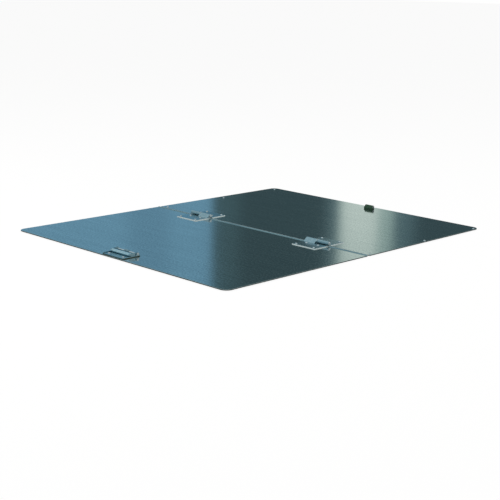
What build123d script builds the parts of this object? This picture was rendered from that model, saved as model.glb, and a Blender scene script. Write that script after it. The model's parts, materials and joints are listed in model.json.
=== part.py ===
"""Two-leaf deck hatch cover of satin steel sheet, folding back on two surface hinges.

Frame: +X along the seam between the leaves, +Y from the lifting leaf towards the fixed leaf,
+Z up.  The origin is the middle of the underside, on the deck.  All sizes are millimetres.
"""
from build123d import *
import os

os.makedirs("parts", exist_ok=True)

# ---------------------------------------------------------------- driving dimensions
# leaves
COVER_WIDTH = 1000.0  # along the seam
COVER_DEPTH = 1266.0  # across both leaves
SEAM_GAP = 8.0
SHEET = 3.0
CORNER_RADIUS = 24.0
SEAM_CORNER_RADIUS = 2.0
SHEET_EDGE_BREAK = 0.5
SEAM_LIP_RADIUS = 2.0  # half-round strip on the lifting leaf, flush with its seam edge
SEAM_LIP_GAP = 1.5  # from the strip's ends to the hinges and to the leaf's sides
HARDWARE_OFFSET = 8.0  # hinges and fixings stand this far right of the sheets' middle

# seal strips and the bar under the seam
SEAL_THICKNESS = 3.0
SEAL_WIDTH = 30.0
SEAL_INSET = 14.0
SEAL_CORNER_RADIUS = 6.0
SEAL_JOINT = 0.3
BAR_FRONT = 20.0
BAR_REAR = 24.0
BAR_END_INSET = 14.0
STRIP_TO_BAR = 0.5

# screws that hold the fixed leaf down
FIXING_SPAN = 966.0
FIXING_FIRST_ROW = 18.0  # from the seam
FIXING_LAST_INSET = 26.0  # from the far edge
FIXING_SHANK_RADIUS = 2.0
FIXING_HEAD_RADIUS = 4.0
FIXING_HEAD_HEIGHT = 2.4
FIXING_SOCKET_RADIUS = 1.45
FIXING_TIP_RECESS = 0.2

# hinges
HINGE_SPACING = 560.0
HINGE_LENGTH = 100.0
HINGE_PLATE = 2.5
HINGE_REACH = 73.0  # from the seam to the outer edge of a hinge plate
HINGE_PLATE_START = 7.0
HINGE_CORNER_RADIUS = 1.0
HINGE_EDGE_BREAK = 0.3
AXIS_HEIGHT = 8.5  # pin axis above the leaves
BARREL_RADIUS = 6.5
BARREL_LENGTH = 96.0
WEB_REACH = 17.0
PIN_RADIUS = 3.5
PIN_CLEARANCE = 0.05
PIN_HEAD_RADIUS = 5.6
PIN_HEAD_HEIGHT = 3.2
PIN_TAIL = 2.0
PIN_EDGE_BREAK = 0.6
WASHER_THICKNESS = 2.0
WASHER_RADIUS = 7.6
KNUCKLE_PLAY = 0.3
HINGE_INNER_ROW = 29.0
HINGE_INNER_SPACING = 50.0
HINGE_OUTER_ROW = 65.0
HINGE_OUTER_SPACING = 76.0

# screws and thin nuts of the hinges and the handle
SCREW_RADIUS = 2.5
SCREW_HEAD_RADIUS = 4.6
SCREW_HEAD_HEIGHT = 2.8
SCREW_SOCKET_RADIUS = 1.7
HOLE_CLEARANCE = 0.2
NUT_FLOOR_CLEARANCE = 0.4  # underside of the nuts to the deck
NUT_ACROSS_FLATS = 8.0
POCKET_CLEARANCE = 0.6  # round nuts and screw heads let into a seal
SOCKET_FLOOR = 0.4  # of a screw head's height
DOME_RIM = 0.3  # of a screw head's height, upright at its rim
DOME_SHOULDER = (0.62, 0.82)  # shares of the head's radius and height that its crown passes through
DOME_SHARE = 0.8  # of a rivet head's height that is rounded

# handle
HANDLE_OFFSET = -3.0  # the handle's middle, right of the leaf's
HANDLE_EDGE_INSET = 6.0  # free edge of the leaf to the handle's base
HANDLE_BASE_WIDTH = 102.0
HANDLE_BASE_DEPTH = 68.0
HANDLE_SHEET = 2.0
HANDLE_CORNER_RADIUS = 4.0
PIVOT_INSET = 10.0  # pivot axis to the base's far edge
EAR_RADIUS = 5.5
EAR_FOOT = 18.0
RIM_HEIGHT = 2.0  # the base's turned-up sides, above its top
ROD_RADIUS = 3.0
ROD_CLEARANCE = 0.06
ROD_HEAD_RADIUS = 4.6
ROD_HEAD_HEIGHT = 1.8
ROD_END_PLAY = 0.3
BAIL_BAR_RADIUS = 3.0
BAIL_SHEET = 2.5
BAIL_END_RADIUS = 4.5
BAIL_ARM = 23.0  # pivot axis to grip axis
BAIL_SIDE_PLAY = 0.5
EYE_RADIUS = 5.5
TOE_PLAY = 0.2
TOE_RISE = 3.0
GRIP_RADIUS = 5.5
GRIP_END_PLAY = 0.5
GRIP_BORE_CLEARANCE = 0.1
GRIP_EDGE_BREAK = 1.0
GRIP_REST_PLAY = 0.4
HANDLE_SCREW_SPACING = 68.0
HANDLE_NEAR_ROW = 14.0  # from the base's near edge
HANDLE_FAR_ROW = 5.5  # from the base's far edge
SPRING_WIRE_RADIUS = 0.8
SPRING_ROD_GAP = 0.5
SPRING_PITCH = 2.6
SPRING_TURNS = 8

# rubber buffer that the folded-back leaf comes down on
BUFFER_LENGTH = 36.0
BUFFER_REACH_FRONT = 11.0
BUFFER_REACH_REAR = 6.0
BUFFER_BASE_HEIGHT = 5.0
BUFFER_CROWN_RADIUS = 6.0
BUFFER_BORE_HEIGHT = 8.5
BUFFER_EDGE_INSET = 34.0  # bore axis to the far edge
BUFFER_OFFSET = 22.0  # right of the hardware's middle
LINER_RADIUS = 4.5
LINER_WALL = 1.2
LINER_PROUD = 0.8
BUFFER_SCREW_SPACING = 20.0
BUFFER_SCREW_SETBACK = 4.0
BUFFER_SCREW_RADIUS = 2.0
BUFFER_SCREW_HEAD_RADIUS = 3.8
BUFFER_SCREW_HEAD_HEIGHT = 2.0
BUFFER_SCREW_BITE = 3.0

# ---------------------------------------------------------------- places worked out from them
HALF_WIDTH = COVER_WIDTH / 2
HALF_DEPTH = COVER_DEPTH / 2
HALF_GAP = SEAM_GAP / 2
UNDERSIDE = SEAL_THICKNESS
TOP = UNDERSIDE + SHEET
HINGE_TOP = TOP + HINGE_PLATE
AXIS_Z = TOP + AXIS_HEIGHT
NUT_RADIUS = NUT_ACROSS_FLATS / 3**0.5
NUT_POCKET_RADIUS = NUT_RADIUS + POCKET_CLEARANCE
SCREW_HOLE_RADIUS = SCREW_RADIUS + HOLE_CLEARANCE
FIXING_HOLE_RADIUS = FIXING_SHANK_RADIUS + HOLE_CLEARANCE

HALF_BARREL = BARREL_LENGTH / 2
KNUCKLE_START = WASHER_THICKNESS / 2 + KNUCKLE_PLAY
KNUCKLE_LENGTH = HALF_BARREL - KNUCKLE_START
HINGE_CENTRES = {
    "left": HARDWARE_OFFSET - HINGE_SPACING / 2,
    "right": HARDWARE_OFFSET + HINGE_SPACING / 2,
}
INWARD = {"left": 1, "right": -1}
REARWARD = {"front": -1, "rear": 1}

FREE_EDGE = -HALF_DEPTH
BASE_NEAR = FREE_EDGE + HANDLE_EDGE_INSET
BASE_FAR = BASE_NEAR + HANDLE_BASE_DEPTH
BASE_TOP = TOP + HANDLE_SHEET
PIVOT_Y = BASE_FAR - PIVOT_INSET
PIVOT_Z = BASE_TOP + GRIP_REST_PLAY + GRIP_RADIUS
EAR_OUTER = HANDLE_BASE_WIDTH / 2
EAR_INNER = EAR_OUTER - HANDLE_SHEET
ARM_OUTER = EAR_INNER - BAIL_SIDE_PLAY
ARM_INNER = ARM_OUTER - BAIL_SHEET
GRIP_LENGTH = 2 * (ARM_INNER - GRIP_END_PLAY)
GRIP_Y = PIVOT_Y - BAIL_ARM
COIL_RADIUS = ROD_RADIUS + SPRING_ROD_GAP + SPRING_WIRE_RADIUS
COIL_LENGTH = SPRING_PITCH * SPRING_TURNS

BUFFER_X = HARDWARE_OFFSET + BUFFER_OFFSET
BUFFER_START = BUFFER_X - BUFFER_LENGTH / 2
BUFFER_POCKET_RADIUS = BUFFER_SCREW_HEAD_RADIUS + POCKET_CLEARANCE
BUFFER_Y = HALF_DEPTH - BUFFER_EDGE_INSET
BORE_Z = TOP + BUFFER_BORE_HEIGHT

FIXING_LAST_ROW = HALF_DEPTH - FIXING_LAST_INSET
FIXING_ROWS = [FIXING_FIRST_ROW, (FIXING_FIRST_ROW + FIXING_LAST_ROW) / 2, FIXING_LAST_ROW]
FIXING_COLUMNS = [HARDWARE_OFFSET - FIXING_SPAN / 2, HARDWARE_OFFSET + FIXING_SPAN / 2]
FIXING_SPOTS = [(x, y) for x in FIXING_COLUMNS for y in FIXING_ROWS]


def hinge_spots(side, leaf):
    """The four screw places of one hinge plate: a narrow row by the barrel, a wide one outside."""
    spots = []
    for row, spacing in ((HINGE_INNER_ROW, HINGE_INNER_SPACING), (HINGE_OUTER_ROW, HINGE_OUTER_SPACING)):
        for end in (-1, 1):
            spots.append((HINGE_CENTRES[side] + end * spacing / 2, REARWARD[leaf] * row))
    return spots


HINGE_SPOTS = {leaf: hinge_spots("left", leaf) + hinge_spots("right", leaf) for leaf in REARWARD}
HANDLE_ROWS = [BASE_NEAR + HANDLE_NEAR_ROW, BASE_FAR - HANDLE_FAR_ROW]
HANDLE_SPOTS = [
    (HANDLE_OFFSET + end * HANDLE_SCREW_SPACING / 2, y) for y in HANDLE_ROWS for end in (-1, 1)
]
BUFFER_SPOTS = [
    (BUFFER_X + end * BUFFER_SCREW_SPACING / 2, BUFFER_Y - BUFFER_SCREW_SETBACK) for end in (-1, 1)
]


def save(name, builder):
    """Label a finished piece and write it as a STEP file of the same name."""
    builder.part.label = name
    export_step(builder.part, f"parts/{name}.step")


def at_height(spots, height):
    """The given (x, y) places as points at one height."""
    return [(x, y, height) for x, y in spots]


def dome_screw(shank_radius, length, head_radius, head_height, socket_radius):
    """A dome-head socket screw with its head's seat at the origin, pointing down."""
    rim = head_height * DOME_RIM
    shoulder = (head_radius * DOME_SHOULDER[0], head_height * DOME_SHOULDER[1])
    with BuildPart() as screw:
        with BuildSketch(Plane.XZ):
            with BuildLine():
                side = Polyline(
                    (0, -length),
                    (shank_radius, -length),
                    (shank_radius, 0),
                    (head_radius, 0),
                    (head_radius, rim),
                )
                crown = ThreePointArc(side @ 1, shoulder, (0, head_height))
                Line(crown @ 1, side @ 0)
            make_face()
        revolve(axis=Axis.Z)
        with BuildSketch(Plane.XY.offset(head_height * SOCKET_FLOOR)):
            RegularPolygon(radius=socket_radius, side_count=6)
        extrude(amount=head_height, mode=Mode.SUBTRACT)
    return screw.part


def screw_group(name, screw, spots, seat):
    """One node of identical screws, each a solid of its own."""
    with BuildPart() as group:
        with Locations(*at_height(spots, seat)):
            add(screw)
    save(name, group)


def nut_group(name, spots):
    """One node of thin hexagon nuts against the underside of a leaf."""
    with BuildPart() as group:
        with BuildSketch(Plane.XY.offset(NUT_FLOOR_CLEARANCE)):
            with Locations(*spots):
                RegularPolygon(radius=NUT_RADIUS, side_count=6)
                Circle(SCREW_RADIUS, mode=Mode.SUBTRACT)
        extrude(amount=UNDERSIDE - NUT_FLOOR_CLEARANCE)
    save(name, group)


# ---------------------------------------------------------------- leaves
def leaf(name, rearward, holes):
    """One sheet, its two outer corners well rounded; holes pairs each radius with its places."""
    depth = HALF_DEPTH - HALF_GAP
    with BuildPart() as sheet:
        with BuildSketch(Plane.XY.offset(UNDERSIDE)) as outline:
            with Locations((0, rearward * (HALF_GAP + depth / 2))):
                Rectangle(COVER_WIDTH, depth)
            rows = outline.vertices().group_by(Axis.Y)
            fillet(rows[-1] if rearward > 0 else rows[0], CORNER_RADIUS)
            rows = outline.vertices().group_by(Axis.Y)
            fillet(rows[0] if rearward > 0 else rows[-1], SEAM_CORNER_RADIUS)
        extrude(amount=SHEET)
        chamfer(sheet.faces().sort_by(Axis.Z)[-1].outer_wire().edges(), SHEET_EDGE_BREAK)
        for radius, spots in holes:
            with Locations(*at_height(spots, TOP)):
                Hole(radius=radius, depth=SHEET)
    save(name, sheet)


leaf("front_leaf", -1, [(SCREW_HOLE_RADIUS, HINGE_SPOTS["front"] + HANDLE_SPOTS)])
leaf(
    "rear_leaf",
    1,
    [(SCREW_HOLE_RADIUS, HINGE_SPOTS["rear"]), (FIXING_HOLE_RADIUS, FIXING_SPOTS + BUFFER_SPOTS)],
)


# ---------------------------------------------------------------- seal strips and seam bar
def edge_strip(name, rearward, holes):
    """The seal strip along a leaf's outer edge; holes pairs each radius with its places."""
    width = COVER_WIDTH - 2 * SEAL_INSET
    middle = rearward * (HALF_DEPTH - SEAL_INSET - SEAL_WIDTH / 2)
    with BuildPart() as strip:
        with BuildSketch() as outline:
            with Locations((0, middle)):
                Rectangle(width, SEAL_WIDTH)
            rows = outline.vertices().group_by(Axis.Y)
            fillet(rows[-1] if rearward > 0 else rows[0], SEAL_CORNER_RADIUS)
        extrude(amount=SEAL_THICKNESS)
        for radius, spots in holes:
            with Locations(*at_height(spots, SEAL_THICKNESS)):
                Hole(radius=radius, depth=SEAL_THICKNESS)
    save(name, strip)


def side_strip(name, rearward, side):
    """The seal strip along one side of a leaf, from the seam bar to the edge strip."""
    near = (BAR_REAR if rearward > 0 else BAR_FRONT) + STRIP_TO_BAR
    far = HALF_DEPTH - SEAL_INSET - SEAL_WIDTH - SEAL_JOINT
    x = side * (HALF_WIDTH - SEAL_INSET - SEAL_WIDTH / 2)
    with BuildPart() as strip:
        with BuildSketch():
            with Locations((x, rearward * (near + far) / 2)):
                Rectangle(SEAL_WIDTH, far - near)
        extrude(amount=SEAL_THICKNESS)
        if rearward > 0:
            mine = [spot for spot in FIXING_SPOTS if spot[0] * side > 0 and near < spot[1] < far]
            with Locations(*at_height(mine, SEAL_THICKNESS)):
                Hole(radius=FIXING_HOLE_RADIUS, depth=SEAL_THICKNESS)
    save(name, strip)


near_handle_spots = [spot for spot in HANDLE_SPOTS if spot[1] == HANDLE_ROWS[0]]
last_row = [spot for spot in FIXING_SPOTS if spot[1] == FIXING_LAST_ROW]
edge_strip("front_edge_seal", -1, [(NUT_POCKET_RADIUS, near_handle_spots)])
edge_strip("rear_edge_seal", 1, [(FIXING_HOLE_RADIUS, last_row), (BUFFER_POCKET_RADIUS, BUFFER_SPOTS)])
side_strip("front_left_seal", -1, -1)
side_strip("front_right_seal", -1, 1)
side_strip("rear_left_seal", 1, -1)
side_strip("rear_right_seal", 1, 1)

with BuildPart() as seam_bar:
    with BuildSketch():
        with Locations((0, (BAR_REAR - BAR_FRONT) / 2)):
            Rectangle(COVER_WIDTH - 2 * BAR_END_INSET, BAR_FRONT + BAR_REAR)
    extrude(amount=SEAL_THICKNESS)
    first_row = [spot for spot in FIXING_SPOTS if spot[1] == FIXING_FIRST_ROW]
    with Locations(*at_height(first_row, SEAL_THICKNESS)):
        Hole(radius=FIXING_HOLE_RADIUS, depth=SEAL_THICKNESS)
save("seam_bar", seam_bar)

with BuildPart() as seam_lip:
    clear = HINGE_LENGTH / 2 + SEAM_LIP_GAP
    side_end = HALF_WIDTH - SEAM_LIP_GAP
    runs = (
        (-side_end, HINGE_CENTRES["left"] - clear),
        (HINGE_CENTRES["left"] + clear, HINGE_CENTRES["right"] - clear),
        (HINGE_CENTRES["right"] + clear, side_end),
    )
    for start, end in runs:
        with BuildSketch(Plane.YZ.offset(start)):
            with Locations((-HALF_GAP - SEAM_LIP_RADIUS, TOP)):
                Circle(SEAM_LIP_RADIUS)
                Rectangle(
                    2 * SEAM_LIP_RADIUS,
                    2 * SEAM_LIP_RADIUS,
                    align=(Align.CENTER, Align.MAX),
                    mode=Mode.SUBTRACT,
                )
        extrude(amount=end - start)
save("seam_lip", seam_lip)

fixing_screw = dome_screw(
    FIXING_SHANK_RADIUS,
    TOP - FIXING_TIP_RECESS,
    FIXING_HEAD_RADIUS,
    FIXING_HEAD_HEIGHT,
    FIXING_SOCKET_RADIUS,
)
screw_group("fixing_screws", fixing_screw, FIXING_SPOTS, TOP)


# ---------------------------------------------------------------- hinges
def hinge_half(side, which):
    """A hinge plate with the one knuckle that it carries, joined to it by a sloping web."""
    centre = HINGE_CENTRES[side]
    rearward = REARWARD[which]
    inward = INWARD[side] if which == "front" else -INWARD[side]
    start = centre + (KNUCKLE_START if inward > 0 else -HALF_BARREL)
    plate_depth = HINGE_REACH - HINGE_PLATE_START
    web_depth = WEB_REACH - HINGE_PLATE_START
    with BuildPart() as half:
        with BuildSketch(Plane.XY.offset(TOP)) as outline:
            with Locations((centre, rearward * (HINGE_PLATE_START + plate_depth / 2))):
                Rectangle(HINGE_LENGTH, plate_depth)
            rows = outline.vertices().group_by(Axis.Y)
            fillet(rows[-1] if rearward > 0 else rows[0], HINGE_CORNER_RADIUS)
        extrude(amount=HINGE_PLATE)
        chamfer(half.faces().sort_by(Axis.Z)[-1].outer_wire().edges(), HINGE_EDGE_BREAK)
        with BuildSketch(Plane.YZ.offset(start)):
            with Locations((0, AXIS_Z)):
                Circle(BARREL_RADIUS)
            with Locations((rearward * (HINGE_PLATE_START + web_depth / 2), TOP + HINGE_PLATE / 2)):
                Rectangle(web_depth, HINGE_PLATE)
            make_hull()
        extrude(amount=KNUCKLE_LENGTH)
        with BuildSketch(Plane.YZ.offset(start)):
            with Locations((0, AXIS_Z)):
                Circle(PIN_RADIUS + PIN_CLEARANCE)
        extrude(amount=KNUCKLE_LENGTH, mode=Mode.SUBTRACT)
        with Locations(*at_height(hinge_spots(side, which), HINGE_TOP)):
            Hole(radius=SCREW_HOLE_RADIUS, depth=HINGE_TOP - TOP)
    save(f"hinge_{side}_{which}_plate", half)


def hinge_pin(side):
    """The pin, with a domed head at its right end and a short tail at its left."""
    start = HINGE_CENTRES[side] - HALF_BARREL - PIN_TAIL
    head = HINGE_CENTRES[side] + HALF_BARREL + KNUCKLE_PLAY
    with BuildPart() as pin:
        with BuildSketch(Plane.YZ.offset(start)):
            with Locations((0, AXIS_Z)):
                Circle(PIN_RADIUS)
        extrude(amount=head - start)
        chamfer(pin.edges().filter_by(GeomType.CIRCLE).sort_by(Axis.X)[0], PIN_EDGE_BREAK)
        with BuildSketch(Plane.YZ.offset(head)):
            with Locations((0, AXIS_Z)):
                Circle(PIN_HEAD_RADIUS)
        extrude(amount=PIN_HEAD_HEIGHT)
        fillet(pin.edges().filter_by(GeomType.CIRCLE).sort_by(Axis.X)[-1], PIN_HEAD_HEIGHT * DOME_SHARE)
    save(f"hinge_{side}_pin", pin)


def hinge_washer(side):
    """The ring on the pin that keeps the two knuckles apart."""
    with BuildPart() as washer:
        with BuildSketch(Plane.YZ.offset(HINGE_CENTRES[side] - WASHER_THICKNESS / 2)):
            with Locations((0, AXIS_Z)):
                Circle(WASHER_RADIUS)
                Circle(PIN_RADIUS + PIN_CLEARANCE, mode=Mode.SUBTRACT)
        extrude(amount=WASHER_THICKNESS)
    save(f"hinge_{side}_washer", washer)


for side in HINGE_CENTRES:
    hinge_half(side, "front")
    hinge_half(side, "rear")
    hinge_pin(side)
    hinge_washer(side)

hinge_screw = dome_screw(
    SCREW_RADIUS, HINGE_TOP - NUT_FLOOR_CLEARANCE, SCREW_HEAD_RADIUS, SCREW_HEAD_HEIGHT, SCREW_SOCKET_RADIUS
)
for which in REARWARD:
    screw_group(f"{which}_hinge_screws", hinge_screw, HINGE_SPOTS[which], HINGE_TOP)
    nut_group(f"{which}_hinge_nuts", HINGE_SPOTS[which])


# ---------------------------------------------------------------- handle
with BuildPart() as handle_base:
    with BuildSketch(Plane.XY.offset(TOP)) as base_outline:
        with Locations((HANDLE_OFFSET, (BASE_NEAR + BASE_FAR) / 2)):
            Rectangle(HANDLE_BASE_WIDTH, HANDLE_BASE_DEPTH)
        fillet(base_outline.vertices(), HANDLE_CORNER_RADIUS)
    extrude(amount=HANDLE_SHEET)
    for ear_start in (HANDLE_OFFSET - EAR_OUTER, HANDLE_OFFSET + EAR_INNER):
        with BuildSketch(Plane.YZ.offset(ear_start)):
            with Locations((PIVOT_Y, PIVOT_Z)):
                Circle(EAR_RADIUS)
            with Locations((PIVOT_Y, TOP + HANDLE_SHEET / 2)):
                Rectangle(EAR_FOOT, HANDLE_SHEET)
            make_hull()
        extrude(amount=HANDLE_SHEET)
        rim_length = PIVOT_Y - BASE_NEAR - HANDLE_CORNER_RADIUS
        with BuildSketch(Plane.XY.offset(TOP)):
            with Locations((ear_start + HANDLE_SHEET / 2, PIVOT_Y - rim_length / 2)):
                Rectangle(HANDLE_SHEET, rim_length)
        extrude(amount=HANDLE_SHEET + RIM_HEIGHT)
    with BuildSketch(Plane.YZ.offset(HANDLE_OFFSET - EAR_OUTER)):
        with Locations((PIVOT_Y, PIVOT_Z)):
            Circle(ROD_RADIUS + ROD_CLEARANCE)
    extrude(amount=HANDLE_BASE_WIDTH, mode=Mode.SUBTRACT)
    with Locations(*at_height(HANDLE_SPOTS, BASE_TOP)):
        Hole(radius=SCREW_HOLE_RADIUS, depth=BASE_TOP - TOP)
save("handle_base", handle_base)

handle_screw = dome_screw(
    SCREW_RADIUS, BASE_TOP - NUT_FLOOR_CLEARANCE, SCREW_HEAD_RADIUS, SCREW_HEAD_HEIGHT, SCREW_SOCKET_RADIUS
)
screw_group("handle_screws", handle_screw, HANDLE_SPOTS, BASE_TOP)
nut_group("handle_nuts", HANDLE_SPOTS)

with BuildPart() as handle_bail:
    toe = PIVOT_Z - BASE_TOP - TOE_PLAY  # meets the base when the bail stands upright
    for arm_start in (HANDLE_OFFSET - ARM_OUTER, HANDLE_OFFSET + ARM_INNER):
        with BuildSketch(Plane.YZ.offset(arm_start)):
            with Locations((GRIP_Y, PIVOT_Z)):
                Circle(BAIL_END_RADIUS)
            with Locations((PIVOT_Y, PIVOT_Z)):
                Circle(EYE_RADIUS)
            make_hull()
            with Locations((PIVOT_Y, PIVOT_Z)):
                Polygon((0, EYE_RADIUS), (0, -EYE_RADIUS), (toe, 0), (toe, TOE_RISE), align=None)
                Circle(ROD_RADIUS, mode=Mode.SUBTRACT)
        extrude(amount=BAIL_SHEET)
    with BuildSketch(Plane.YZ.offset(HANDLE_OFFSET - ARM_OUTER)):
        with Locations((GRIP_Y, PIVOT_Z)):
            Circle(BAIL_BAR_RADIUS)
    extrude(amount=2 * ARM_OUTER)
save("handle_bail", handle_bail)

with BuildPart() as handle_rod:
    half_rod = EAR_OUTER + ROD_END_PLAY
    with BuildSketch(Plane.YZ.offset(HANDLE_OFFSET - half_rod)):
        with Locations((PIVOT_Y, PIVOT_Z)):
            Circle(ROD_RADIUS)
    extrude(amount=2 * half_rod)
    for end in (-1, 1):
        with BuildSketch(Plane.YZ.offset(HANDLE_OFFSET + end * half_rod)):
            with Locations((PIVOT_Y, PIVOT_Z)):
                Circle(ROD_HEAD_RADIUS)
        extrude(amount=end * ROD_HEAD_HEIGHT)
    rims = handle_rod.edges().filter_by(GeomType.CIRCLE).sort_by(Axis.X)
    fillet([rims[0], rims[-1]], ROD_HEAD_HEIGHT * DOME_SHARE)
save("handle_rod", handle_rod)

with BuildPart() as handle_grip:
    with BuildSketch(Plane.YZ.offset(HANDLE_OFFSET - GRIP_LENGTH / 2)):
        with Locations((GRIP_Y, PIVOT_Z)):
            Circle(GRIP_RADIUS)
    extrude(amount=GRIP_LENGTH)
    fillet(handle_grip.edges().filter_by(GeomType.CIRCLE), GRIP_EDGE_BREAK)
    with BuildSketch(Plane.YZ.offset(HANDLE_OFFSET - GRIP_LENGTH / 2)):
        with Locations((GRIP_Y, PIVOT_Z)):
            Circle(BAIL_BAR_RADIUS + GRIP_BORE_CLEARANCE)
    extrude(amount=GRIP_LENGTH, mode=Mode.SUBTRACT)
save("handle_grip", handle_grip)

with BuildPart() as spring_coil:
    with BuildLine() as coil:
        Helix(SPRING_PITCH, COIL_LENGTH, COIL_RADIUS, direction=(1, 0, 0))
    with BuildSketch(Plane(coil.line @ 0, z_dir=coil.line % 0)):
        Circle(SPRING_WIRE_RADIUS)
    sweep(path=coil.line, is_frenet=True)

with BuildPart() as handle_spring:
    coil_start = HANDLE_OFFSET - COIL_LENGTH / 2
    # the quarter turn puts the wire's end behind the rod, heading down to the base
    with Locations(Location((coil_start, PIVOT_Y, PIVOT_Z), (-90, 0, 0))):
        add(spring_coil.part)
    with BuildSketch(Plane.XY.offset(BASE_TOP)):
        with Locations((coil_start, PIVOT_Y + COIL_RADIUS)):
            Circle(SPRING_WIRE_RADIUS)
    extrude(amount=PIVOT_Z - BASE_TOP)
save("handle_spring", handle_spring)


# ---------------------------------------------------------------- buffer
with BuildPart() as buffer_block:
    with BuildSketch(Plane.YZ.offset(BUFFER_START)):
        with Locations((BUFFER_Y, BORE_Z)):
            Circle(BUFFER_CROWN_RADIUS)
        foot_middle = BUFFER_Y + (BUFFER_REACH_REAR - BUFFER_REACH_FRONT) / 2
        with Locations((foot_middle, TOP + BUFFER_BASE_HEIGHT / 2)):
            Rectangle(BUFFER_REACH_FRONT + BUFFER_REACH_REAR, BUFFER_BASE_HEIGHT)
        make_hull()
    extrude(amount=BUFFER_LENGTH)
    with BuildSketch(Plane.YZ.offset(BUFFER_START)):
        with Locations((BUFFER_Y, BORE_Z)):
            Circle(LINER_RADIUS)
    extrude(amount=BUFFER_LENGTH, mode=Mode.SUBTRACT)
    with Locations(*at_height(BUFFER_SPOTS, TOP + BUFFER_SCREW_BITE)):
        Hole(radius=BUFFER_SCREW_RADIUS, depth=BUFFER_SCREW_BITE)
save("buffer_block", buffer_block)

with BuildPart() as buffer_liner:
    with BuildSketch(Plane.YZ.offset(BUFFER_START - LINER_PROUD)):
        with Locations((BUFFER_Y, BORE_Z)):
            Circle(LINER_RADIUS)
            Circle(LINER_RADIUS - LINER_WALL, mode=Mode.SUBTRACT)
    extrude(amount=BUFFER_LENGTH + 2 * LINER_PROUD)
save("buffer_liner", buffer_liner)

with BuildPart() as buffer_screws:
    with BuildSketch(Plane.XY.offset(UNDERSIDE - BUFFER_SCREW_HEAD_HEIGHT)):
        with Locations(*BUFFER_SPOTS):
            Circle(BUFFER_SCREW_HEAD_RADIUS)
    extrude(amount=BUFFER_SCREW_HEAD_HEIGHT)
    with BuildSketch(Plane.XY.offset(UNDERSIDE)):
        with Locations(*BUFFER_SPOTS):
            Circle(BUFFER_SCREW_RADIUS)
    extrude(amount=SHEET + BUFFER_SCREW_BITE)
save("buffer_screws", buffer_screws)
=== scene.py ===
"""Looks for the two-leaf deck hatch: mill-finish steel leaves, zinc hinges and handle, rubber seals.

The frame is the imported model's: +X along the seam, +Y towards the fixed leaf, +Z up, in metres.
"""
import json
from math import cos, pi, radians, sin

import bmesh
import bpy
from mathutils import Matrix, Vector


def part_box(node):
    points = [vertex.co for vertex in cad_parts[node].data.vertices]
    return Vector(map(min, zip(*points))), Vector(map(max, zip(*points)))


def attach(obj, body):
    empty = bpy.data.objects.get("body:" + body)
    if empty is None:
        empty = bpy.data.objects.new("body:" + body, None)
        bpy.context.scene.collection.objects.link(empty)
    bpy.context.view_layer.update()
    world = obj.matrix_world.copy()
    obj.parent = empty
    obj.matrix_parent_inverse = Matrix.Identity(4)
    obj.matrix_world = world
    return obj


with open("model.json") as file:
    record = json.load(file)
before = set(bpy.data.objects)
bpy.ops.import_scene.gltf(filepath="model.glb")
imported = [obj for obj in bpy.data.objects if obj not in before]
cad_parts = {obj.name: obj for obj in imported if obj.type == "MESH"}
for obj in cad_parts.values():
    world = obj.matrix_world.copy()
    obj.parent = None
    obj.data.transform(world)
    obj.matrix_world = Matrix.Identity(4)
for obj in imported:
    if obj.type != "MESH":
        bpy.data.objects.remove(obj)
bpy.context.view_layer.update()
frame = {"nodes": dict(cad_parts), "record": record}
scene = bpy.context.scene
MM = 0.001

# ---------------------------------------------------------------- camera and studio, in metres and degrees
CAMERA_PLACE = (2.589, -2.710, 0.831)
CAMERA_HEADING = 133.93  # anticlockwise from +X
CAMERA_DIP = 13.52  # below the horizon
CAMERA_ROLL = 1.5
LENS = 79.7
SENSOR = 36.0

FLOOR_SIZE = 120.0
FLOOR_WHITE = 0.90  # share of the floor that is bright whatever falls on it

# upright studio panels, which only polished surfaces show: middle and half width of each, the
# softness of its edges, its colour, and the heights between which it fades out
ROOM_TONE = (0.046, 0.082, 0.093)
CEILING_TONE = (0.56, 0.65, 0.68)
CEILING_HEIGHTS = (22.0, 46.0)
PANELS = [
    (135.3, 0.75, 0.50, (0.062, 0.115, 0.130), (20.0, 50.0)),
    (164.95, 29.0, 0.22, (0.165, 0.345, 0.480), (20.0, 50.0)),
    (139.3, 1.1, 0.60, (0.140, 0.295, 0.415), (20.0, 50.0)),
    (127.6, 2.25, 0.50, (0.095, 0.165, 0.185), (9.0, 30.0)),
    (127.85, 1.42, 0.30, (0.360, 0.490, 0.460), (9.0, 26.0)),
    (128.2, 0.95, 0.30, (0.660, 0.760, 0.710), (9.0, 24.0)),
    (90.0, 14.0, 6.0, (0.30, 0.38, 0.42), (20.0, 50.0)),
    (40.0, 16.0, 5.0, (0.52, 0.60, 0.62), (20.0, 50.0)),
    (0.0, 14.0, 5.0, (0.16, 0.25, 0.30), (20.0, 50.0)),
    (-45.0, 20.0, 5.0, (0.50, 0.58, 0.62), (20.0, 50.0)),
    (-90.0, 14.0, 5.0, (0.20, 0.32, 0.40), (20.0, 50.0)),
    (-135.0, 20.0, 6.0, (0.42, 0.52, 0.56), (20.0, 50.0)),
]

# soft lamps: place, size, power in watts. They light the plain surfaces, and polished ones show
# the panels instead
LAMPS = [
    ((-1.6, -2.6, 3.4), 2.4, 95.0),
    ((2.8, 1.8, 3.6), 2.6, 70.0),
]
FILL_LIGHT = 0.62  # of the plain level, from all round


def linear(hex_colour):
    """An sRGB hex colour as the linear RGBA that shaders take."""
    channels = [int(hex_colour[i : i + 2], 16) / 255 for i in (1, 3, 5)]
    return [c / 12.92 if c <= 0.04045 else ((c + 0.055) / 1.055) ** 2.4 for c in channels] + [1.0]


def add_node(tree, kind, inputs=None, **settings):
    """Adds a node with its settings; inputs maps a socket's name or number to a value or an output."""
    made = tree.nodes.new(kind)
    for name, value in settings.items():
        setattr(made, name, value)
    for key, value in (inputs or {}).items():
        if isinstance(value, bpy.types.NodeSocket):
            tree.links.new(value, made.inputs[key])
        else:
            made.inputs[key].default_value = value
    return made


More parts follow.
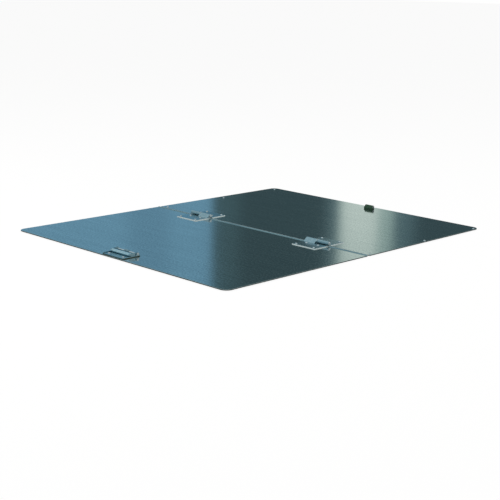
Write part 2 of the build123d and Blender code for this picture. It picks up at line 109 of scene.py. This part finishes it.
def aim(place, heading, dip, roll=0.0):
    """The matrix of a camera or lamp that looks along a heading, tipped below the horizon."""
    turn = Matrix.Rotation(radians(heading - 90), 4, "Z") @ Matrix.Rotation(radians(90 - dip), 4, "X")
    return Matrix.Translation(place) @ turn @ Matrix.Rotation(radians(roll), 4, "Z")


# ---------------------------------------------------------------- camera
camera_data = bpy.data.cameras.new("camera")
camera_data.lens = LENS
camera_data.sensor_width = SENSOR
camera_data.clip_end = 2 * FLOOR_SIZE
camera = bpy.data.objects.new("camera", camera_data)
camera.matrix_world = aim(CAMERA_PLACE, CAMERA_HEADING, CAMERA_DIP, CAMERA_ROLL)
scene.collection.objects.link(camera)
scene.camera = camera
scene.view_settings.view_transform = "Standard"


# ---------------------------------------------------------------- studio
def build_world():
    """White behind everything, an even fill for plain surfaces, and the panels for polished ones."""
    world = bpy.data.worlds.new("studio")
    world.use_nodes = True
    tree = world.node_tree
    tree.nodes.clear()
    direction = add_node(tree, "ShaderNodeTexCoord").outputs["Generated"]
    parts = add_node(tree, "ShaderNodeSeparateXYZ", {0: direction}).outputs
    heading = add_node(tree, "ShaderNodeMath", {0: parts["Y"], 1: parts["X"]}, operation="ARCTAN2").outputs[0]
    tone = add_node(tree, "ShaderNodeRGB").outputs[0]
    tone.default_value = (*ROOM_TONE, 1)
    for middle, half, soft, colour, heights in PANELS:
        off = add_node(tree, "ShaderNodeMath", {0: heading, 1: radians(middle)}, operation="SUBTRACT")
        off = add_node(tree, "ShaderNodeMath", {0: off.outputs[0], 1: pi, 2: -pi}, operation="WRAP")
        off = add_node(tree, "ShaderNodeMath", {0: off.outputs[0]}, operation="ABSOLUTE")
        across = add_node(
            tree,
            "ShaderNodeMapRange",
            {0: off.outputs[0], 1: radians(half - soft), 2: radians(half + soft), 3: 1.0, 4: 0.0},
            interpolation_type="SMOOTHSTEP",
        )
        up = add_node(
            tree,
            "ShaderNodeMapRange",
            {0: parts["Z"], 1: sin(radians(heights[0])), 2: sin(radians(heights[1])), 3: 1.0, 4: 0.0},
            interpolation_type="SMOOTHSTEP",
        )
        share = add_node(tree, "ShaderNodeMath", {0: across.outputs[0], 1: up.outputs[0]}, operation="MULTIPLY")
        mix = add_node(tree, "ShaderNodeMix", {0: share.outputs[0], 6: tone, 7: (*colour, 1)}, data_type="RGBA")
        tone = mix.outputs[2]
    over = add_node(
        tree,
        "ShaderNodeMapRange",
        {0: parts["Z"], 1: sin(radians(CEILING_HEIGHTS[0])), 2: sin(radians(CEILING_HEIGHTS[1]))},
        interpolation_type="SMOOTHSTEP",
    )
    tone = add_node(
        tree, "ShaderNodeMix", {0: over.outputs[0], 6: tone, 7: (*CEILING_TONE, 1)}, data_type="RGBA"
    ).outputs[2]
    rays = add_node(tree, "ShaderNodeLightPath").outputs
    fill = (FILL_LIGHT, FILL_LIGHT, FILL_LIGHT, 1)
    seen = add_node(tree, "ShaderNodeMix", {0: rays["Is Glossy Ray"], 6: fill, 7: tone}, data_type="RGBA")
    white = add_node(
        tree, "ShaderNodeMix", {0: rays["Is Camera Ray"], 6: seen.outputs[2], 7: (1, 1, 1, 1)}, data_type="RGBA"
    )
    light = add_node(tree, "ShaderNodeBackground", {0: white.outputs[2]})
    add_node(tree, "ShaderNodeOutputWorld", {0: light.outputs[0]})
    scene.world = world


def build_floor():
    """A pale studio floor, bright to the eye, that still takes the cover's shadow."""
    mesh = bpy.data.meshes.new("floor")
    made = bmesh.new()
    bmesh.ops.create_grid(made, x_segments=1, y_segments=1, size=FLOOR_SIZE / 2)
    made.to_mesh(mesh)
    made.free()
    floor = bpy.data.objects.new("floor", mesh)
    scene.collection.objects.link(floor)
    material = bpy.data.materials.new("painted studio floor")
    material.use_nodes = True
    tree = material.node_tree
    tree.nodes.clear()
    rays = add_node(tree, "ShaderNodeLightPath").outputs
    paint = add_node(tree, "ShaderNodeBsdfDiffuse", {0: linear("#F2F2F0")})
    glow = add_node(tree, "ShaderNodeEmission", {0: (1, 1, 1, 1)})
    sees = add_node(
        tree, "ShaderNodeMath", {0: rays["Is Camera Ray"], 1: rays["Is Glossy Ray"]}, operation="MAXIMUM"
    )
    sees = add_node(
        tree, "ShaderNodeMath", {0: sees.outputs[0], 1: rays["Is Transmission Ray"]}, operation="MAXIMUM"
    )
    share = add_node(tree, "ShaderNodeMath", {0: sees.outputs[0], 1: FLOOR_WHITE}, operation="MULTIPLY")
    both = add_node(tree, "ShaderNodeMixShader", {0: share.outputs[0], 1: paint.outputs[0], 2: glow.outputs[0]})
    add_node(tree, "ShaderNodeOutputMaterial", {0: both.outputs[0]})
    mesh.materials.append(material)


def build_lamps():
    """Two large soft lamps overhead, turned to the cover's middle."""
    for number, (place, size, power) in enumerate(LAMPS):
        data = bpy.data.lights.new(f"soft lamp {number + 1}", "AREA")
        data.shape = "SQUARE"
        data.size = size
        data.energy = power
        lamp = bpy.data.objects.new(data.name, data)
        towards = Vector((0, 0, 0)) - Vector(place)
        lamp.matrix_world = Matrix.Translation(place) @ towards.to_track_quat("-Z", "Y").to_matrix().to_4x4()
        lamp.visible_glossy = False
        scene.collection.objects.link(lamp)


build_world()
build_floor()
build_lamps()


# ---------------------------------------------------------------- finishes
UPRIGHT = 0.5  # a face whose normal climbs less than this is an upright side
SHEET_TOP = 6.0  # millimetres above the deck, and so is the next
PLATE_TOP = 8.5
SHEARED_ROUGHNESS = 0.5  # of the leaves' cut edges
SHEARED_METALLIC = 0.4  # of the zinc parts' low upright sides, lowered so that their painted side tone shows in the lamps' light: a painted highlight on the hinges and spring, painted shade on the handle


def grain(size_mm):
    """The noise scale that gives marks about this many millimetres across."""
    return 1 / (size_mm * MM)


class Finish:
    """A new material with one shader, and the object coordinates its patterns are laid out in."""

    def __init__(self, name, **sockets):
        self.material = bpy.data.materials.new(name)
        self.material.use_nodes = True
        self.tree = self.material.node_tree
        self.tree.nodes.clear()
        self.shader = add_node(self.tree, "ShaderNodeBsdfPrincipled")
        for socket, value in sockets.items():
            self.shader.inputs[socket.replace("_", " ")].default_value = value
        add_node(self.tree, "ShaderNodeOutputMaterial", {0: self.shader.outputs[0]})
        places = add_node(self.tree, "ShaderNodeTexCoord").outputs
        self.coordinates = places["Object"]
        self.normals = places["Normal"]

    def add(self, kind, inputs=None, **settings):
        return add_node(self.tree, kind, inputs, **settings)

    def noise(self, size_mm, stretch=(1, 1, 1), detail=2.0):
        """Noise of that grain, 0 to 1, drawn out along an axis whose stretch is above 1."""
        shrink = [1 / s for s in stretch]
        place = self.add("ShaderNodeMapping", {"Vector": self.coordinates, "Scale": shrink}).outputs[0]
        return self.add(
            "ShaderNodeTexNoise", {"Vector": place, "Scale": grain(size_mm), "Detail": detail}
        ).outputs[0]

    def between(self, factor, low, high, start=0.3, end=0.7):
        """A number that goes from low to high as the factor goes from start to end."""
        return self.add(
            "ShaderNodeMapRange", {0: factor, 1: start, 2: end, 3: low, 4: high}
        ).outputs[0]

    def colours(self, factor, dark, light, start=0.3, end=0.7):
        """A colour that goes from dark to light as the factor goes from start to end."""
        share = self.between(factor, 0.0, 1.0, start, end)
        return self.add(
            "ShaderNodeMix", {0: share, 6: linear(dark), 7: linear(light)}, data_type="RGBA"
        ).outputs[2]

    def sheared(self, face, edge, below_mm):
        """The colour of a part with a painted side tone on its low upright sides, and where those sides are.
        The tone is painted shade or a painted highlight, chosen by which way the faces turn.
        """
        turned = self.add("ShaderNodeSeparateXYZ", {0: self.normals}).outputs["Z"]
        turned = self.add("ShaderNodeMath", {0: turned}, operation="ABSOLUTE").outputs[0]
        upright = self.add("ShaderNodeMath", {0: turned, 1: UPRIGHT}, operation="LESS_THAN").outputs[0]
        height = self.add("ShaderNodeSeparateXYZ", {0: self.coordinates}).outputs["Z"]
        low = self.add("ShaderNodeMath", {0: height, 1: below_mm * MM}, operation="LESS_THAN").outputs[0]
        share = self.add("ShaderNodeMath", {0: upright, 1: low}, operation="MULTIPLY").outputs[0]
        mix = self.add("ShaderNodeMix", {0: share, 6: face, 7: linear(edge)}, data_type="RGBA")
        return mix.outputs[2], share

    def link(self, socket, value):
        self.tree.links.new(value, self.shader.inputs[socket])

    def relief(self, height, depth_mm, strength=1.0):
        """Bump from a 0 to 1 height that stands for this many millimetres."""
        bump = self.add("ShaderNodeBump", {"Height": height, "Distance": depth_mm * MM, "Strength": strength})
        self.link("Normal", bump.outputs[0])


def mill_finish_stainless():
    """Cold-rolled stainless sheet as it leaves the mill, pickled and skin-passed.

    The pickling leaves a cloudy mottle and the rolls leave faint streaks along the sheet, and both
    show as small changes in an otherwise clear reflection.
    """
    steel = Finish("mill finish stainless sheet", Metallic=1.0)
    cloud = steel.noise(6.0, detail=4.0)
    streak = steel.noise(2.5, stretch=(60, 1, 1), detail=2.0)
    both = steel.add("ShaderNodeMix", {0: 0.3, 2: cloud, 3: streak}, data_type="FLOAT").outputs[0]
    face = steel.colours(both, "#A4ADAE", "#DDE2E0", 0.4, 0.6)
    # the leaf's low upright sides are painted dark green-grey: painted shade for the dark surroundings those
    # sides face, not a colour of the cut steel
    colour, edge = steel.sheared(face, "#26352C", SHEET_TOP)
    steel.link("Base Color", colour)
    smooth = steel.between(both, 0.08, 0.12)
    steel.link("Roughness", steel.add("ShaderNodeMix", {0: edge, 2: smooth, 3: SHEARED_ROUGHNESS}).outputs[0])
    steel.relief(streak, 0.0003)
    return steel.material


def zinc_plated_steel(name, clouds_mm, edge_colour="#EEF5F2"):
    """Bright zinc plating with a clear blue passivation: soft gloss, a cold tint, faint clouding."""
    zinc = Finish(name, Metallic=1.0)
    cloud = zinc.noise(clouds_mm, detail=3.0)
    brush = zinc.noise(0.5, stretch=(1, 14, 1), detail=1.0)
    # the low upright sides take the side colour given: a near-white painted highlight by default, which the
    # hinges and spring keep
    colour, edge = zinc.sheared(zinc.colours(cloud, "#90AEB8", "#ACC4CB"), edge_colour, PLATE_TOP)
    zinc.link("Base Color", colour)
    zinc.link("Metallic", zinc.between(edge, 1.0, SHEARED_METALLIC, 0.0, 1.0))
    zinc.link("Roughness", zinc.between(brush, 0.16, 0.26))
    zinc.relief(brush, 0.002)
    return zinc.material


def polished_steel(name, turn_mm, dark="#CFD5D7", light="#E8ECEA", smooth=0.10, dull=0.20):
    """Turned and polished steel: a tight highlight broken by fine rings round the bar's axis."""
    steel = Finish(name, Metallic=1.0)
    rings = steel.noise(turn_mm, stretch=(1, 40, 40), detail=1.0)
    steel.link("Base Color", steel.colours(rings, dark, light))
    steel.link("Roughness", steel.between(rings, smooth, dull))
    steel.relief(rings, 0.002)
    return steel.material


def drawn_strip(name, clouds_mm):
    """Drawn stainless strip, satin all along, tinted cyan-grey as painted reflection of a blue sky, with a
    faint cloudy change along it.
    """
    strip = Finish(name, Metallic=1.0)
    cloud = strip.noise(clouds_mm, stretch=(4, 1, 1))
    strip.link("Base Color", strip.colours(cloud, "#8DACB4", "#A5C1C6"))
    strip.link("Roughness", strip.between(cloud, 0.30, 0.38))
    return strip.material


def galvanised_steel(name, spangle_mm):
    """Hot-dip galvanised bar: crystals of zinc that each throw the light a little differently."""
    zinc = Finish(name, Metallic=1.0)
    crystal = zinc.add(
        "ShaderNodeTexVoronoi", {"Vector": zinc.coordinates, "Scale": grain(spangle_mm)}
    ).outputs["Color"]
    shade = zinc.add("ShaderNodeSeparateColor", {0: crystal}).outputs[0]
    zinc.link("Base Color", zinc.colours(shade, "#9DA5A9", "#B9C0C3", 0.0, 1.0))
    zinc.link("Roughness", zinc.between(shade, 0.28, 0.42, 0.0, 1.0))
    return zinc.material


def moulded_rubber(name, dark, light, bloom_mm, grit_mm):
    """Black rubber from a mould: nearly matt, with a grey-green bloom and a fine grit."""
    rubber = Finish(name, IOR=1.52)
    bloom = rubber.noise(bloom_mm, detail=3.0)
    grit = rubber.noise(grit_mm, detail=1.0)
    rubber.link("Base Color", rubber.colours(bloom, dark, light))
    rubber.link("Roughness", rubber.between(bloom, 0.48, 0.66))
    rubber.relief(grit, 0.05, 0.6)
    return rubber.material


FINISHES = {
    "leaf_sheet": mill_finish_stainless(),
    "seam_bar_steel": galvanised_steel("galvanised flat bar", 12.0),
    "seal_rubber": moulded_rubber("extruded rubber seal", "#17191A", "#26292A", 14.0, 0.8),
    "seam_lip_steel": drawn_strip("half-round seam strip", 20.0),
    "fastener_steel": polished_steel("stainless fasteners", 0.4),
    # the hinge plates' low sides keep the near-white painted highlight
    "hinge_steel": zinc_plated_steel("zinc plated hinge steel", 6.0),
    "pin_steel": polished_steel("turned hinge pins", 0.5),
    # the handle's low upright sides get a dark olive: painted shade beside the bail
    "handle_steel": zinc_plated_steel("zinc plated handle steel", 5.0, "#3C4A40"),
    # the grip's cyan tint is painted reflection of a blue sky in the polished tube
    "grip_steel": polished_steel("polished grip tube", 0.8, "#B2D6E2", "#D2EAF0", 0.05, 0.10),
    "spring_steel": zinc_plated_steel("zinc plated spring wire", 2.0),
    "buffer_rubber": moulded_rubber("moulded buffer rubber", "#12301C", "#22442C", 8.0, 0.6),
    "liner_steel": polished_steel("polished liner tube", 1.0),
}

# ---------------------------------------------------------------- small pieces, in millimetres
ROD_SIDES = 24
SOFT_SHARE = 0.4  # of a rod's radius, taken off its ends
EAR_SHEET = 2.0
WELD_HALF = 7.5
WELD_RADIUS = 1.0
COLLAR_START = 1.5
COLLAR_WIDTH = 2.5
COLLAR_PROUD = 0.25
BEAD_RADIUS = 1.2
BEAD_INSET = 7.0


def rod(name, body, slot, start, end, radius):
    """A round bead or bar between two places in millimetres, its ends softened."""
    first, last = Vector(start) * MM, Vector(end) * MM
    turn = (last - first).to_track_quat("Z", "Y").to_matrix().to_4x4()
    made = bmesh.new()
    bmesh.ops.create_cone(
        made,
        cap_ends=True,
        segments=ROD_SIDES,
        radius1=radius * MM,
        radius2=radius * MM,
        depth=(last - first).length,
        matrix=Matrix.Translation((first + last) / 2) @ turn,
    )
    rims = [edge for edge in made.edges if any(len(face.verts) > 4 for face in edge.link_faces)]
    bmesh.ops.bevel(
        made, geom=rims, offset=radius * MM * SOFT_SHARE, segments=3, profile=0.5, affect="EDGES", material=-1
    )
    for face in made.faces:
        face.smooth = len(face.verts) <= 4
    mesh = bpy.data.meshes.new(name)
    made.to_mesh(mesh)
    made.free()
    mesh.materials.append(FINISHES[slot])
    piece = bpy.data.objects.new(name, mesh)
    scene.collection.objects.link(piece)
    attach(piece, body)


def edges_of(node):
    """The node's box as (lows, highs) in millimetres."""
    low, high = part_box(node)
    return [value / MM for value in low], [value / MM for value in high]


def ear_welds():
    """A fillet weld along the inner foot of each of the handle's ears."""
    low, high = edges_of("handle_base")
    _, pivot, _ = [(a + b) / 2 for a, b in zip(*edges_of("handle_rod"))]
    for side, at in (("left", low[0] + EAR_SHEET), ("right", high[0] - EAR_SHEET)):
        ends = [(at, pivot + along * WELD_HALF, SHEET_TOP + EAR_SHEET) for along in (-1, 1)]
        rod(f"ear_weld_{side}", "lifting_leaf", "handle_steel", *ends, WELD_RADIUS)


def grip_collars():
    """A turned collar at each end of the grip tube."""
    low, high = edges_of("handle_grip")
    _, across, height = [(a + b) / 2 for a, b in zip(low, high)]
    for side, at, inwards in (("left", low[0], 1), ("right", high[0], -1)):
        ends = [(at + inwards * x, across, height) for x in (COLLAR_START, COLLAR_START + COLLAR_WIDTH)]
        rod(f"grip_collar_{side}", "bail", "grip_steel", *ends, (high[2] - low[2]) / 2 + COLLAR_PROUD)


def seal_beads():
    """The small round lip that each outer seal strip presses on the deck with."""
    for row, body, outward in (("front", "lifting_leaf", -1), ("rear", "fixed_leaf", 1)):
        low, high = edges_of(f"{row}_edge_seal")
        y = low[1] if outward < 0 else high[1]
        ends = [(x, y, BEAD_RADIUS) for x in (low[0] + BEAD_INSET, high[0] - BEAD_INSET)]
        rod(f"{row}_edge_bead", body, "seal_rubber", *ends, BEAD_RADIUS)
        for side, pick in (("left", 0), ("right", 1)):
            low, high = edges_of(f"{row}_{side}_seal")
            x = (low, high)[pick][0]
            ends = [(x, y, BEAD_RADIUS) for y in (low[1] + BEAD_INSET, high[1] - BEAD_INSET)]
            rod(f"{row}_{side}_bead", body, "seal_rubber", *ends, BEAD_RADIUS)


ear_welds()
grip_collars()
seal_beads()

for subpart in frame["record"]["subparts"]:
    for place in frame["nodes"][subpart["node"]].material_slots:
        place.material = FINISHES[subpart["material_slot"]]
